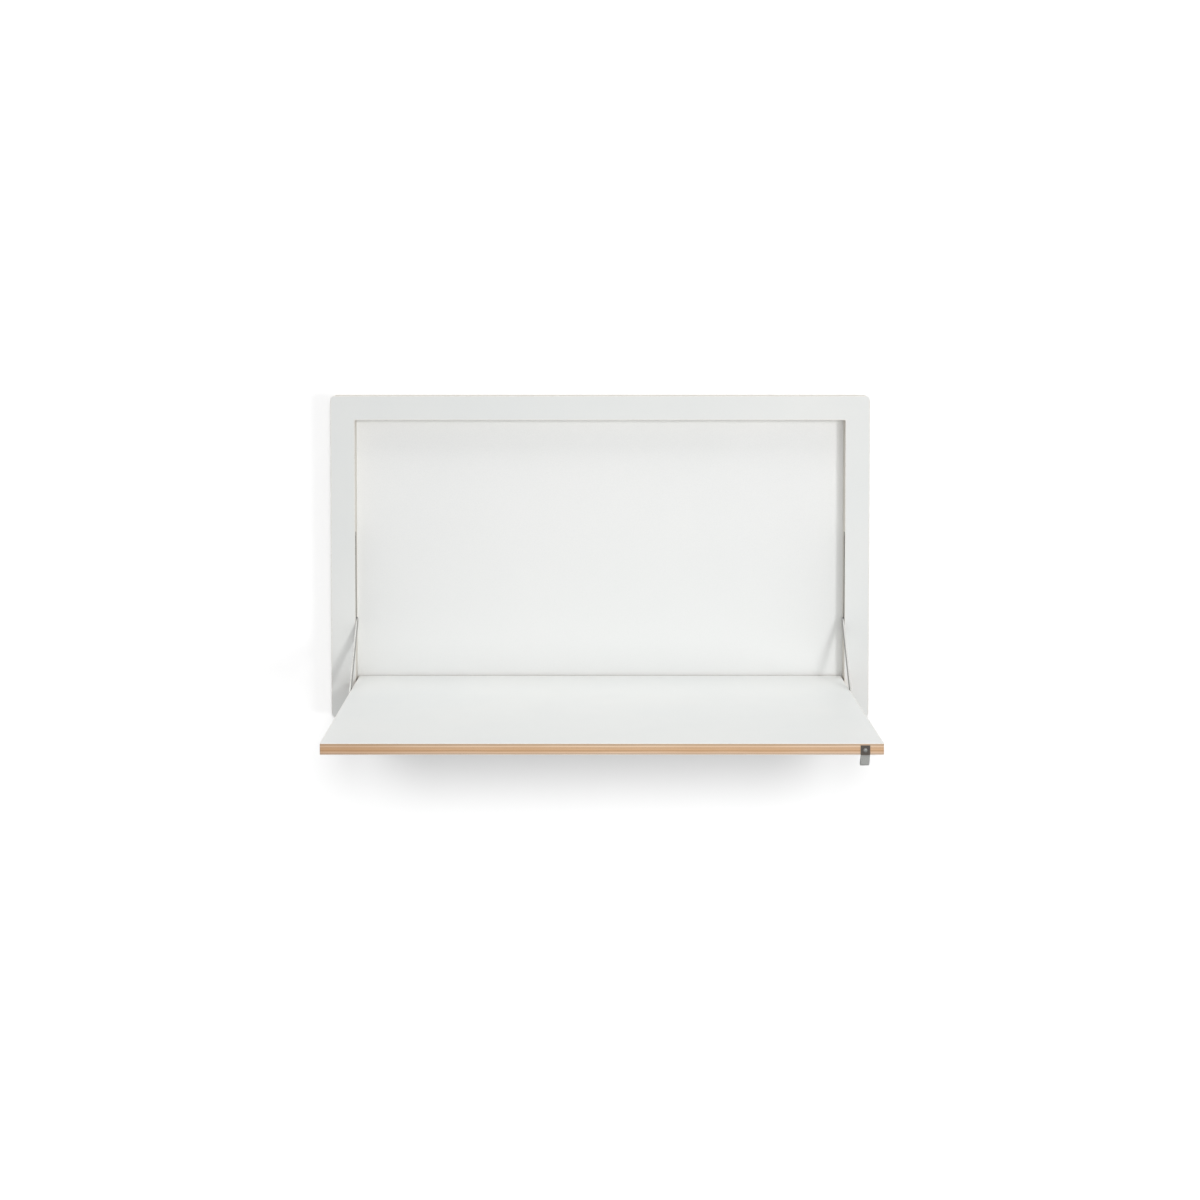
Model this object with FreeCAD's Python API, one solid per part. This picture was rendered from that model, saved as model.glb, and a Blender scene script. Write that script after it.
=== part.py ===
import FreeCAD, Part
import math
import os

# Fold down wall desk, shown open. Lengths are in millimetres.
# X runs to the right, Y from the room to the wall, Z up.
# The origin lies in the wall plane, midway between the two hangers.

# Frame and recess
frame_width = 800.0
frame_height = 480.0
member_width = 36.0
board_thickness = 15.0
laminate_thickness = 0.8
outer_corner_radius = 6.0
opening_corner_radius = 1.5
edge_break = 0.3
panel_thickness = 3.0
panel_seat = 10.0
panel_play = 0.5

# Flap and the gaps around it
flap_side_gap = 3.0
flap_end_gap = 2.5
flap_corner_radius = 1.5
swing_clearance = 0.4
panel_clearance = 0.6

# Pivots of the flap
bolt_radius = 3.0
bolt_head_radius = 4.5
bolt_head_height = 4.0
bolt_head_sink = 2.0
bolt_head_room = 0.3
bolt_reach = 15.0
bolt_socket_radius = 2.0
bolt_socket_depth = 2.4
bush_wall = 1.6
bush_length = 17.0
bush_flange_radius = 6.0
running_clearance = 0.05
side_clearance = 0.3

# Stays
stay_reach = 86.0
stay_rise = 92.0
stay_width = 12.0
stay_thickness = 2.0
stay_screw_radius = 2.5
stay_screw_head_radius = 4.0
stay_screw_head_height = 1.5
stay_screw_sink = 0.1
stay_screw_length = 14.0
insert_wall = 1.4
insert_length = 12.0
washer_radius = 5.0
rivet_radius = 2.5
driver_slot_width = 0.9
driver_slot_depth = 0.8

# Guide rails and the shoes that slide in them
rail_width = 8.0
rail_depth = 8.0
rail_wall = 1.2
shoe_length = 16.0
shoe_clearance = 0.1
shoe_sink = 0.4
shoe_floor_gap = 0.3
shoe_boss_radius = 2.4
open_pivot_gap = 0.3
plug_length = 6.0
plug_sink = 0.2
stop_gap = 0.2

# Hidden magnets
magnet_radius = 3.0
magnet_length = 10.0
magnet_skin = 1.5
magnet_offset_share = 0.68

# Pull tab
tab_inset = 24.0
tab_width = 12.0
tab_drop = 2.5
tab_hang = 13.5
tab_play = 0.2
ribbon_thickness = 0.8
tab_neck = 1.0
tab_loop_radius = 2.5
patch_thickness = 0.6
patch_corner_radius = 0.6
tab_screw_radius = 1.4
tab_screw_head_radius = 2.7
tab_screw_head_height = 1.0
tab_screw_length = 13.0
tab_slot_width = 0.7
tab_slot_depth = 0.5

# Keyhole hangers on the back
hanger_width_share = 0.77
hanger_height = 50.0
hanger_thickness = 2.0
hanger_corner_radius = 3.0
hanger_drop = 80.0
keyhole_radius = 4.5
keyhole_slot_width = 4.8
keyhole_slot_rise = 9.0
keyhole_pocket_room = 1.2
keyhole_pocket_depth = 7.0
hanger_screw_pitch = 38.0

hanger_screw_length = 9.0
hanger_screw_radius = 1.5
hanger_screw_head_radius = 2.9
hanger_screw_head_height = 1.5
cross_arm = 1.6
cross_width = 0.9
cross_depth = 1.0

# Staples that hold the back panel in its rebate, placed by shares of the opening's half sizes
staple_width = 10.0
staple_wire = 1.2
staple_leg = 9.0
staple_long_shares = (-0.8, -0.27, 0.27, 0.8)
staple_short_shares = (-0.45, 0.45)

overrun = 5.0
sides = {"left": -1, "right": 1}

# Sizes worked out from those above
opening_width = frame_width - 2 * member_width
opening_height = frame_height - 2 * member_width
half_opening = opening_width / 2
half_opening_height = opening_height / 2
middle_z = hanger_drop - frame_height / 2
opening_bottom_z = middle_z - half_opening_height
opening_top_z = middle_z + half_opening_height
half_board = board_thickness / 2
core_thickness = board_thickness - 2 * laminate_thickness

# The flap's lower corner swings past the frame's lower member with swing_clearance to spare.
pivot_height = (flap_end_gap**2 - swing_clearance**2 + half_board**2) / (2 * (flap_end_gap - swing_clearance))
swing_radius = pivot_height - swing_clearance
recess_depth = half_board + swing_radius + panel_clearance
strip_thickness = recess_depth - board_thickness + panel_thickness
frame_depth = board_thickness + strip_thickness

front_y = -frame_depth
core_front_y = front_y + laminate_thickness
core_back_y = core_front_y + core_thickness
strip_front_y = front_y + board_thickness
panel_front_y = -panel_thickness
mid_y = front_y + half_board

pivot_z = opening_bottom_z + pivot_height
flap_width = opening_width - 2 * flap_side_gap
half_flap = flap_width / 2
flap_tail = pivot_height - flap_end_gap
flap_length = opening_height - 2 * flap_end_gap
flap_back_y = mid_y + flap_tail
flap_front_y = flap_back_y - flap_length
flap_top_z = pivot_z + half_board
flap_under_z = pivot_z - half_board
flap_core_top_z = flap_top_z - laminate_thickness
flap_core_under_z = flap_under_z + laminate_thickness

# The stay runs from the flap's side up to the shoe. With the flap shut, stay and flap lie in one line.
stay_length = math.hypot(stay_reach, stay_rise)
stay_tilt = math.degrees(math.atan2(stay_reach, stay_rise))
stay_foot_y = mid_y - stay_reach
stay_head_z = pivot_z + stay_rise
shoe_travel = stay_reach + stay_length - stay_rise
stay_inner_x = half_flap + (flap_side_gap - stay_thickness) / 2
stay_outer_x = stay_inner_x + stay_thickness

rail_bottom_z = stay_head_z - shoe_length / 2 - stop_gap - plug_length
rail_top_z = stay_head_z + shoe_travel + shoe_length / 2 + stop_gap + plug_length
rail_length = rail_top_z - rail_bottom_z
rail_floor_x = half_opening + rail_depth - rail_wall
rail_inner_width = rail_width - 2 * rail_wall

land_middle = (member_width - panel_seat) / 2
hanger_x = frame_width / 2 - land_middle
hanger_width = hanger_width_share * (member_width - panel_seat)

TO_WALL = FreeCAD.Vector(0, 1, 0)
TO_ROOM = FreeCAD.Vector(0, -1, 0)
RIGHT = FreeCAD.Vector(1, 0, 0)
LEFT = FreeCAD.Vector(-1, 0, 0)
UP = FreeCAD.Vector(0, 0, 1)


def at(x, y, z):
    return FreeCAD.Vector(x, y, z)


def block(x0, x1, y0, y1, z0, z1):
    return Part.makeBox(x1 - x0, y1 - y0, z1 - z0, at(x0, y0, z0))


def edges_along(shape, direction):
    found = []
    for edge in shape.Edges:
        if edge.Curve.TypeId == "Part::GeomLine" and abs(edge.Curve.Direction.dot(direction)) > math.cos(math.radians(1)):
            found.append(edge)
    return found


def rounded(shape, direction, radius):
    return shape.makeFillet(radius, edges_along(shape, direction))


def upright_board(width, height, radius, y0, y1):
    """A board parallel to the wall, centred on the frame, with rounded corners."""
    plate = block(-width / 2, width / 2, y0, y1, middle_z - height / 2, middle_z + height / 2)
    return rounded(plate, TO_WALL, radius)


def broken_rim(shape, normal, level):
    """Break the sharp edges that lie in the plane at this level along the normal."""
    rim = []
    for edge in shape.Edges:
        box = edge.BoundBox
        low = at(box.XMin, box.YMin, box.ZMin).dot(normal)
        high = at(box.XMax, box.YMax, box.ZMax).dot(normal)
        if max(abs(low - level), abs(high - level)) < edge_break / 2:
            rim.append(edge)
    return shape.makeChamfer(edge_break, rim)


def cut_all(shape, tools):
    return shape.cut(Part.makeCompound(tools)).removeSplitter()


def placed(shape, origin, direction):
    """Move a shape made along +Z so that it starts at origin and runs along direction."""
    moved = shape.copy()
    moved.Placement = FreeCAD.Placement(origin, FreeCAD.Rotation(UP, direction))
    return moved


def mirrored(shape, side):
    return shape if side > 0 else shape.mirror(at(0, 0, 0), RIGHT)


def on_both_sides(shape):
    return Part.makeCompound([mirrored(shape, side) for side in sides.values()])


def moved_to(shape, place):
    moved = shape.copy()
    moved.translate(place)
    return moved


# Hangers, their screws and the staples, which all enter from the back
hanger_places = [at(side * hanger_x, 0, 0) for side in sides.values()]
hanger_screw_places = []
for place in hanger_places:
    for level in (-1, 1):
        hanger_screw_places.append(place + UP * (level * hanger_screw_pitch / 2))


def hanger_screw_blanks():
    head = Part.makeCone(hanger_screw_head_radius, hanger_screw_radius, hanger_screw_head_height)
    blank = head.fuse(Part.makeCylinder(hanger_screw_radius, hanger_screw_length)).removeSplitter()
    return [placed(blank, place, TO_ROOM) for place in hanger_screw_places]


def hanger_screws():
    half = cross_width / 2
    one = block(-cross_arm, cross_arm, -half, half, -overrun, cross_depth)
    other = block(-half, half, -cross_arm, cross_arm, -overrun, cross_depth)
    crosses = [placed(one.fuse(other), place, TO_ROOM) for place in hanger_screw_places]
    return Part.makeCompound(hanger_screw_blanks()).cut(Part.makeCompound(crosses))


def staple():
    """One staple, driven flush with the wall plane, its crown along X."""
    half = staple_width / 2
    wire = staple_wire / 2
    outside = block(-half, half, -staple_leg, 0, -wire, wire)
    half -= staple_wire
    return outside.cut(block(-half, half, -staple_leg - overrun, -staple_wire, -overrun, overrun))


def staples():
    found = []
    upright = staple()
    upright.rotate(at(0, 0, 0), TO_WALL, 90)
    for level in (-1, 1):
        rim_z = middle_z + level * (half_opening_height + panel_seat / 2)
        rim_x = level * (half_opening + panel_seat / 2)
        for share in staple_long_shares:
            found.append(moved_to(staple(), at(share * half_opening, 0, rim_z)))
        for share in staple_short_shares:
            found.append(moved_to(upright, at(rim_x, 0, middle_z + share * half_opening_height)))
    return found


def magnet_rods(y0, z0, direction):
    rods = []
    for side in sides.values():
        base = at(side * magnet_offset_share * half_flap, y0, z0)
        rods.append(Part.makeCylinder(magnet_radius, magnet_length, base, direction))
    return rods


magnet_depth = magnet_skin + magnet_radius
frame_magnet_rods = magnet_rods(core_back_y, opening_top_z + magnet_depth, TO_ROOM)
flap_magnet_rods = magnet_rods(flap_front_y + magnet_depth, flap_core_top_z, -UP)


# Guide rails, let into the inner edges of the frame's side members
def rail_envelope():
    y0 = mid_y - rail_width / 2
    return block(half_opening, half_opening + rail_depth, y0, y0 + rail_width, rail_bottom_z, rail_top_z)


def guide_rail():
    inner_y = mid_y - rail_inner_width / 2
    z0 = rail_bottom_z - overrun
    z1 = rail_top_z + overrun
    trough = block(half_opening - overrun, rail_floor_x, inner_y, inner_y + rail_inner_width, z0, z1)
    return rail_envelope().cut(trough)


def end_plugs():
    inner_y = mid_y - rail_inner_width / 2
    plugs = []
    for z0 in (rail_bottom_z, rail_top_z - plug_length):
        x0 = half_opening + plug_sink
        plug = block(x0, rail_floor_x, inner_y, inner_y + rail_inner_width, z0, z0 + plug_length)
        plugs.append(plug)
    return Part.makeCompound(plugs)


def slide_shoe():
    half = rail_inner_width / 2 - shoe_clearance
    x0 = half_opening + shoe_sink
    x1 = rail_floor_x - shoe_floor_gap
    z0 = stay_head_z - shoe_length / 2
    body = block(x0, x1, mid_y - half, mid_y + half, z0, z0 + shoe_length)
    boss_x = stay_outer_x + open_pivot_gap
    boss = Part.makeCylinder(shoe_boss_radius, x1 - boss_x, at(boss_x, mid_y, stay_head_z), RIGHT)
    return body.fuse(boss).removeSplitter()


# Pivot bolts of the flap
bolt_seat_x = frame_width / 2 - bolt_head_sink - bolt_head_height
bolt_end_x = half_flap - bolt_reach


def bolt_shank(radius):
    return Part.makeCylinder(radius, bolt_seat_x - bolt_end_x, at(bolt_seat_x, mid_y, pivot_z), LEFT)


def pivot_bolt():
    head = Part.makeCylinder(bolt_head_radius, bolt_head_height, at(bolt_seat_x, mid_y, pivot_z), RIGHT)
    corners = []
    for step in range(7):
        turn = math.radians(60 * step)
        corners.append(at(bolt_socket_radius * math.cos(turn), bolt_socket_radius * math.sin(turn), 0))
    socket = Part.Face(Part.makePolygon(corners)).extrude(UP * (bolt_socket_depth + overrun))
    mouth = at(bolt_seat_x + bolt_head_height + overrun, mid_y, pivot_z)
    return head.fuse(bolt_shank(bolt_radius)).removeSplitter().cut(placed(socket, mouth, LEFT))


def bolt_bore():
    start = at(bolt_seat_x, mid_y, pivot_z)
    length = frame_width / 2 - bolt_seat_x + overrun
    return bolt_shank(bolt_radius).fuse(
        Part.makeCylinder(bolt_head_radius + bolt_head_room, length, start, RIGHT))


# Frame boards
opening_cut = upright_board(
    opening_width, opening_height, opening_corner_radius, front_y - overrun, overrun)


def frame_ring(y0, y1):
    return upright_board(frame_width, frame_height, outer_corner_radius, y0, y1).cut(opening_cut)


def front_frame_core():
    tools = [mirrored(tool, side) for tool in (bolt_bore(), rail_envelope()) for side in sides.values()]
    return cut_all(frame_ring(core_front_y, core_back_y), tools + frame_magnet_rods)


def front_frame_face():
    return broken_rim(frame_ring(front_y, core_front_y), TO_WALL, front_y)


def front_frame_backing():
    return frame_ring(core_back_y, strip_front_y)


def hanger_outline(y0):
    """One hanger's plan, centred on its keyhole, from y0 to the wall plane."""
    plate = block(-hanger_width / 2, hanger_width / 2, y0, 0, -hanger_height / 2, hanger_height / 2)
    return rounded(plate, TO_WALL, hanger_corner_radius)


def keyhole(y0, y1, radius, slot_width):
    hole = Part.makeCylinder(radius, y1 - y0, at(0, y0, 0), TO_WALL)
    slot = block(-slot_width / 2, slot_width / 2, y0, y1, 0, keyhole_slot_rise)
    end = Part.makeCylinder(slot_width / 2, y1 - y0, at(0, y0, keyhole_slot_rise), TO_WALL)
    return hole.fuse([slot, end]).removeSplitter()


def hanger_plates():
    plate = hanger_outline(-hanger_thickness)
    plate = plate.cut(keyhole(-hanger_thickness - overrun, overrun, keyhole_radius, keyhole_slot_width))
    plates = Part.makeCompound([moved_to(plate, place) for place in hanger_places])
    return plates.cut(Part.makeCompound(hanger_screw_blanks()))


def hanger_pockets():
    """Plate seats in the strips, with room behind for the heads of the wall screws."""
    pocket_radius = keyhole_radius + keyhole_pocket_room
    pocket_y = -hanger_thickness - keyhole_pocket_depth
    pocket = keyhole(pocket_y, 0, pocket_radius, 2 * pocket_radius)
    seat = hanger_outline(-hanger_thickness).fuse(pocket)
    return [moved_to(seat, place) for place in hanger_places]


def panel_outline(play):
    width = opening_width + 2 * (panel_seat - play)
    height = opening_height + 2 * (panel_seat - play)
    return upright_board(width, height, opening_corner_radius, panel_front_y, 0)


def rear_strips():
    """Four strips behind the front frame, rebated for the back panel."""
    ring = frame_ring(strip_front_y, 0)
    tools = [panel_outline(0)] + staples() + hanger_pockets() + hanger_screw_blanks()
    ring = cut_all(ring, tools)
    far_x = frame_width
    y0 = strip_front_y - overrun
    zones = {
        "rear_top_strip": block(-far_x, far_x, y0, overrun, opening_top_z, opening_top_z + frame_height),
        "rear_bottom_strip": block(-far_x, far_x, y0, overrun, opening_bottom_z - frame_height, opening_bottom_z),
        "rear_left_strip": block(-far_x, 0, y0, overrun, opening_bottom_z, opening_top_z),
        "rear_right_strip": block(0, far_x, y0, overrun, opening_bottom_z, opening_top_z),
    }
    return {name: ring.common(zone) for name, zone in zones.items()}


def back_panel():
    return cut_all(panel_outline(panel_play), staples())


# Flap, bushes and the stays' fixings in its sides
bush_radius = bolt_radius + running_clearance + bush_wall
insert_radius = stay_screw_radius + insert_wall


def flap_board(z0, z1):
    plate = block(-half_flap, half_flap, flap_front_y, flap_back_y, z0, z1)
    return rounded(plate, UP, flap_corner_radius)


def flap_bush():
    flange_x = half_opening - side_clearance
    base = at(half_flap - bush_length, mid_y, pivot_z)
    body = Part.makeCylinder(bush_radius, bush_length, base, RIGHT)
    flange_base = at(half_flap, mid_y, pivot_z)
    flange = Part.makeCylinder(bush_flange_radius, flange_x - half_flap, flange_base, RIGHT)
    return body.fuse(flange).removeSplitter().cut(bolt_shank(bolt_radius + running_clearance))


def flap_side_bores():
    bush_base = at(half_flap - bush_length, mid_y, pivot_z)
    bush_bore = Part.makeCylinder(bush_radius, bush_length + overrun, bush_base, RIGHT)
    insert_base = at(half_flap - insert_length, stay_foot_y, pivot_z)
    insert_bore = Part.makeCylinder(insert_radius, insert_length + overrun, insert_base, RIGHT)
    return bush_bore.fuse(insert_bore)


def stay_insert():
    base = at(half_flap - insert_length, stay_foot_y, pivot_z)
    return Part.makeCylinder(insert_radius, insert_length, base, RIGHT).cut(stay_screw_blank(0))


def stay_screw_blank(room):
    """The pivot screw of a stay, its surface moved outwards by room."""
    top_x = stay_outer_x - stay_screw_sink
    foot = at(top_x, stay_foot_y, pivot_z)
    head = Part.makeCone(
        stay_screw_head_radius + room, stay_screw_radius + room, stay_screw_head_height, foot, LEFT)
    shank = Part.makeCylinder(stay_screw_radius + room, stay_screw_length, foot, LEFT)
    return head.fuse(shank).removeSplitter()


def stay_pivot_screw():
    top_x = stay_outer_x - stay_screw_sink
    half = driver_slot_width / 2
    arm = stay_screw_head_radius + overrun
    slot = block(
        top_x - driver_slot_depth, top_x + overrun, stay_foot_y - half, stay_foot_y + half, pivot_z - arm, pivot_z + arm)
    return stay_screw_blank(0).cut(slot)


def stay_washer():
    base = at(half_flap, stay_foot_y, pivot_z)
    length = stay_inner_x - half_flap - running_clearance
    return Part.makeCylinder(washer_radius, length, base, RIGHT).cut(stay_screw_blank(running_clearance))


def stay_bar():
    half = stay_width / 2
    plate = block(0, stay_thickness, -half, half, 0, stay_length)
    ends = [Part.makeCylinder(half, stay_thickness, at(0, 0, z), RIGHT) for z in (0, stay_length)]
    plate = plate.fuse(ends).removeSplitter()
    plate.Placement = FreeCAD.Placement(
        at(stay_inner_x, stay_foot_y, pivot_z), FreeCAD.Rotation(RIGHT, -stay_tilt))
    mouth = at(stay_outer_x - stay_screw_sink, stay_foot_y, pivot_z)
    mouth_cut = Part.makeCylinder(stay_screw_head_radius + running_clearance, overrun, mouth, RIGHT)
    return cut_all(plate, [stay_screw_blank(running_clearance), mouth_cut, stay_rivet()])


def stay_rivet():
    return Part.makeCylinder(rivet_radius, stay_thickness, at(stay_inner_x, mid_y, stay_head_z), RIGHT)


# Pull tab near the right end of the flap's front edge. The doubled ribbon fills a notch there, so that the
# tab clears the frame when the flap is shut.
tab_x = half_flap - tab_inset
tab_top_z = flap_top_z - tab_drop
tab_end_z = flap_under_z - tab_hang
ribbon_back_y = flap_front_y + 2 * ribbon_thickness
patch_front_y = flap_front_y - patch_thickness
tab_screw_z = (tab_top_z + flap_under_z) / 2


def tab_notch():
    half = tab_width / 2 + tab_play
    low_z = flap_under_z - overrun
    return block(tab_x - half, tab_x + half, flap_front_y - overrun, ribbon_back_y, low_z, tab_top_z)


def loop_wire(points, bulge):
    """A closed outline through points, whose middle pair is joined by an arc through bulge."""
    half = len(points) // 2
    down = [Part.makeLine(points[i], points[i + 1]) for i in range(half - 1)]
    turn = Part.Arc(points[half - 1], bulge, points[half]).toShape()
    up = [Part.makeLine(points[i], points[i + 1]) for i in range(half, len(points) - 1)]
    return Part.Wire(down + [turn] + up + [Part.makeLine(points[-1], points[0])])


def tab_ribbon():
    x0 = tab_x - tab_width / 2
    middle_y = flap_front_y + ribbon_thickness
    neck_z = flap_under_z - tab_neck
    turn_z = tab_end_z + tab_loop_radius
    outer = loop_wire(
        [at(x0, ribbon_back_y, tab_top_z), at(x0, ribbon_back_y, neck_z),
         at(x0, middle_y + tab_loop_radius, turn_z), at(x0, middle_y - tab_loop_radius, turn_z),
         at(x0, flap_front_y, neck_z), at(x0, flap_front_y, tab_top_z)],
        at(x0, middle_y, tab_end_z))
    inside = tab_loop_radius - ribbon_thickness
    start_z = neck_z - tab_neck
    inner = Part.Wire([
        Part.makeLine(at(x0, middle_y, start_z), at(x0, middle_y + inside, turn_z)),
        Part.Arc(at(x0, middle_y + inside, turn_z), at(x0, middle_y, turn_z - inside),
                 at(x0, middle_y - inside, turn_z)).toShape(),
        Part.makeLine(at(x0, middle_y - inside, turn_z), at(x0, middle_y, start_z))])
    face = Part.Face(outer).cut(Part.Face(inner))
    return face.extrude(RIGHT * tab_width).cut(tab_screw_blank())


def tab_patch():
    half = tab_width / 2
    plate = block(tab_x - half, tab_x + half, patch_front_y, flap_front_y, flap_under_z, tab_top_z)
    return rounded(plate, TO_WALL, patch_corner_radius).cut(tab_screw_blank())


def tab_screw_blank():
    return Part.makeCylinder(tab_screw_radius, tab_screw_length, at(tab_x, patch_front_y, tab_screw_z), TO_WALL)


def tab_screw():
    """Round head screw: a spherical cap as wide as the head, on a plain shank."""
    ball_radius = (tab_screw_head_radius**2 + tab_screw_head_height**2) / (2 * tab_screw_head_height)
    ball_y = patch_front_y - tab_screw_head_height + ball_radius
    ball = Part.makeSphere(ball_radius, at(tab_x, ball_y, tab_screw_z))
    reach = tab_screw_head_radius + overrun
    front = block(
        tab_x - reach, tab_x + reach, patch_front_y - overrun, patch_front_y, tab_screw_z - reach, tab_screw_z + reach)
    slot_y = patch_front_y - tab_screw_head_height
    half = tab_slot_width / 2
    slot = block(
        tab_x - reach, tab_x + reach, slot_y - overrun, slot_y + tab_slot_depth, tab_screw_z - half, tab_screw_z + half)
    return ball.common(front).fuse(tab_screw_blank()).removeSplitter().cut(slot)


def flap_core():
    tools = [mirrored(flap_side_bores(), side) for side in sides.values()]
    tools += flap_magnet_rods + [tab_screw_blank(), tab_notch()]
    return cut_all(flap_board(flap_core_under_z, flap_core_top_z), tools)


def flap_top_laminate():
    return broken_rim(flap_board(flap_core_top_z, flap_top_z), UP, flap_top_z)


def flap_under_laminate():
    return broken_rim(flap_board(flap_under_z, flap_core_under_z), UP, flap_under_z).cut(tab_notch())


nodes = {
    "front_frame_core": front_frame_core(),
    "front_frame_face": front_frame_face(),
    "front_frame_backing": front_frame_backing(),
    "back_panel": back_panel(),
    "panel_staples": Part.makeCompound(staples()),
    "hanger_plates": hanger_plates(),
    "hanger_screws": hanger_screws(),
    "rail_end_plugs": on_both_sides(end_plugs()),
    "pivot_bolts": on_both_sides(pivot_bolt()),
    "frame_magnets": Part.makeCompound(frame_magnet_rods),
    "flap_core": flap_core(),
    "flap_top_laminate": flap_top_laminate(),
    "flap_under_laminate": flap_under_laminate(),
    "flap_bushes": on_both_sides(flap_bush()),
    "flap_magnets": Part.makeCompound(flap_magnet_rods),
    "stay_inserts": on_both_sides(stay_insert()),
    "stay_pivot_screws": on_both_sides(stay_pivot_screw()),
    "stay_washers": on_both_sides(stay_washer()),
    "tab_ribbon": tab_ribbon(),
    "tab_patch": tab_patch(),
    "tab_screw": tab_screw(),
}
nodes.update(rear_strips())
for name, side in sides.items():
    nodes[name + "_guide_rail"] = mirrored(guide_rail(), side)
    nodes[name + "_slide_shoe"] = mirrored(slide_shoe(), side)
    nodes[name + "_stay_bar"] = mirrored(stay_bar(), side)
    nodes[name + "_stay_rivet"] = mirrored(stay_rivet(), side)

os.makedirs("parts", exist_ok=True)
for name, shape in nodes.items():
    shape.exportStep("parts/" + name + ".step")
print(len(nodes), "nodes; frame depth", round(frame_depth, 2), "pivot at", round(mid_y, 3), round(pivot_z, 3))
print("stay", round(stay_length, 3), "tilt", round(stay_tilt, 3), "shoe travel", round(shoe_travel, 3))
print("flap front", round(flap_front_y, 3), "stay foot", round(stay_foot_y, 3), "flap top", round(flap_top_z, 3))
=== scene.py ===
import bpy
import math
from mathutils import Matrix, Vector


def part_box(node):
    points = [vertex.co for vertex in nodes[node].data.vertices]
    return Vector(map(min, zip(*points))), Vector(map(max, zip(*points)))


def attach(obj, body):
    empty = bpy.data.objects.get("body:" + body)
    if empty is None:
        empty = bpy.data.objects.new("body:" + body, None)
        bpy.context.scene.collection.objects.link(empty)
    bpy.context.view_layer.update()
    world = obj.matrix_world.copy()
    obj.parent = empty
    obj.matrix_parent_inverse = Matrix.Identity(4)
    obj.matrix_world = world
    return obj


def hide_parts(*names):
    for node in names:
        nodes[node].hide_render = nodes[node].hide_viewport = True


# Fold down wall desk, open. Metres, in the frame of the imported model.
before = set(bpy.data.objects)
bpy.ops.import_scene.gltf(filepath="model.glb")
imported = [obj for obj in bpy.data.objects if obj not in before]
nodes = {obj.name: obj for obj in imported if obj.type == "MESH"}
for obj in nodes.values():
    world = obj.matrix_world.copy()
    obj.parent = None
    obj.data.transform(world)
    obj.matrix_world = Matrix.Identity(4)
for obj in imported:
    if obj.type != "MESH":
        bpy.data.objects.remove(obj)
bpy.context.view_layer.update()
scene = bpy.context.scene
scene.view_settings.view_transform = "Standard"


def linear(r, g, b):
    """An 8-bit display colour as the linear values that shaders take."""
    def one(v):
        v /= 255
        return v / 12.92 if v <= 0.04045 else ((v + 0.055) / 1.055) ** 2.4
    return (one(r), one(g), one(b), 1)


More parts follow.
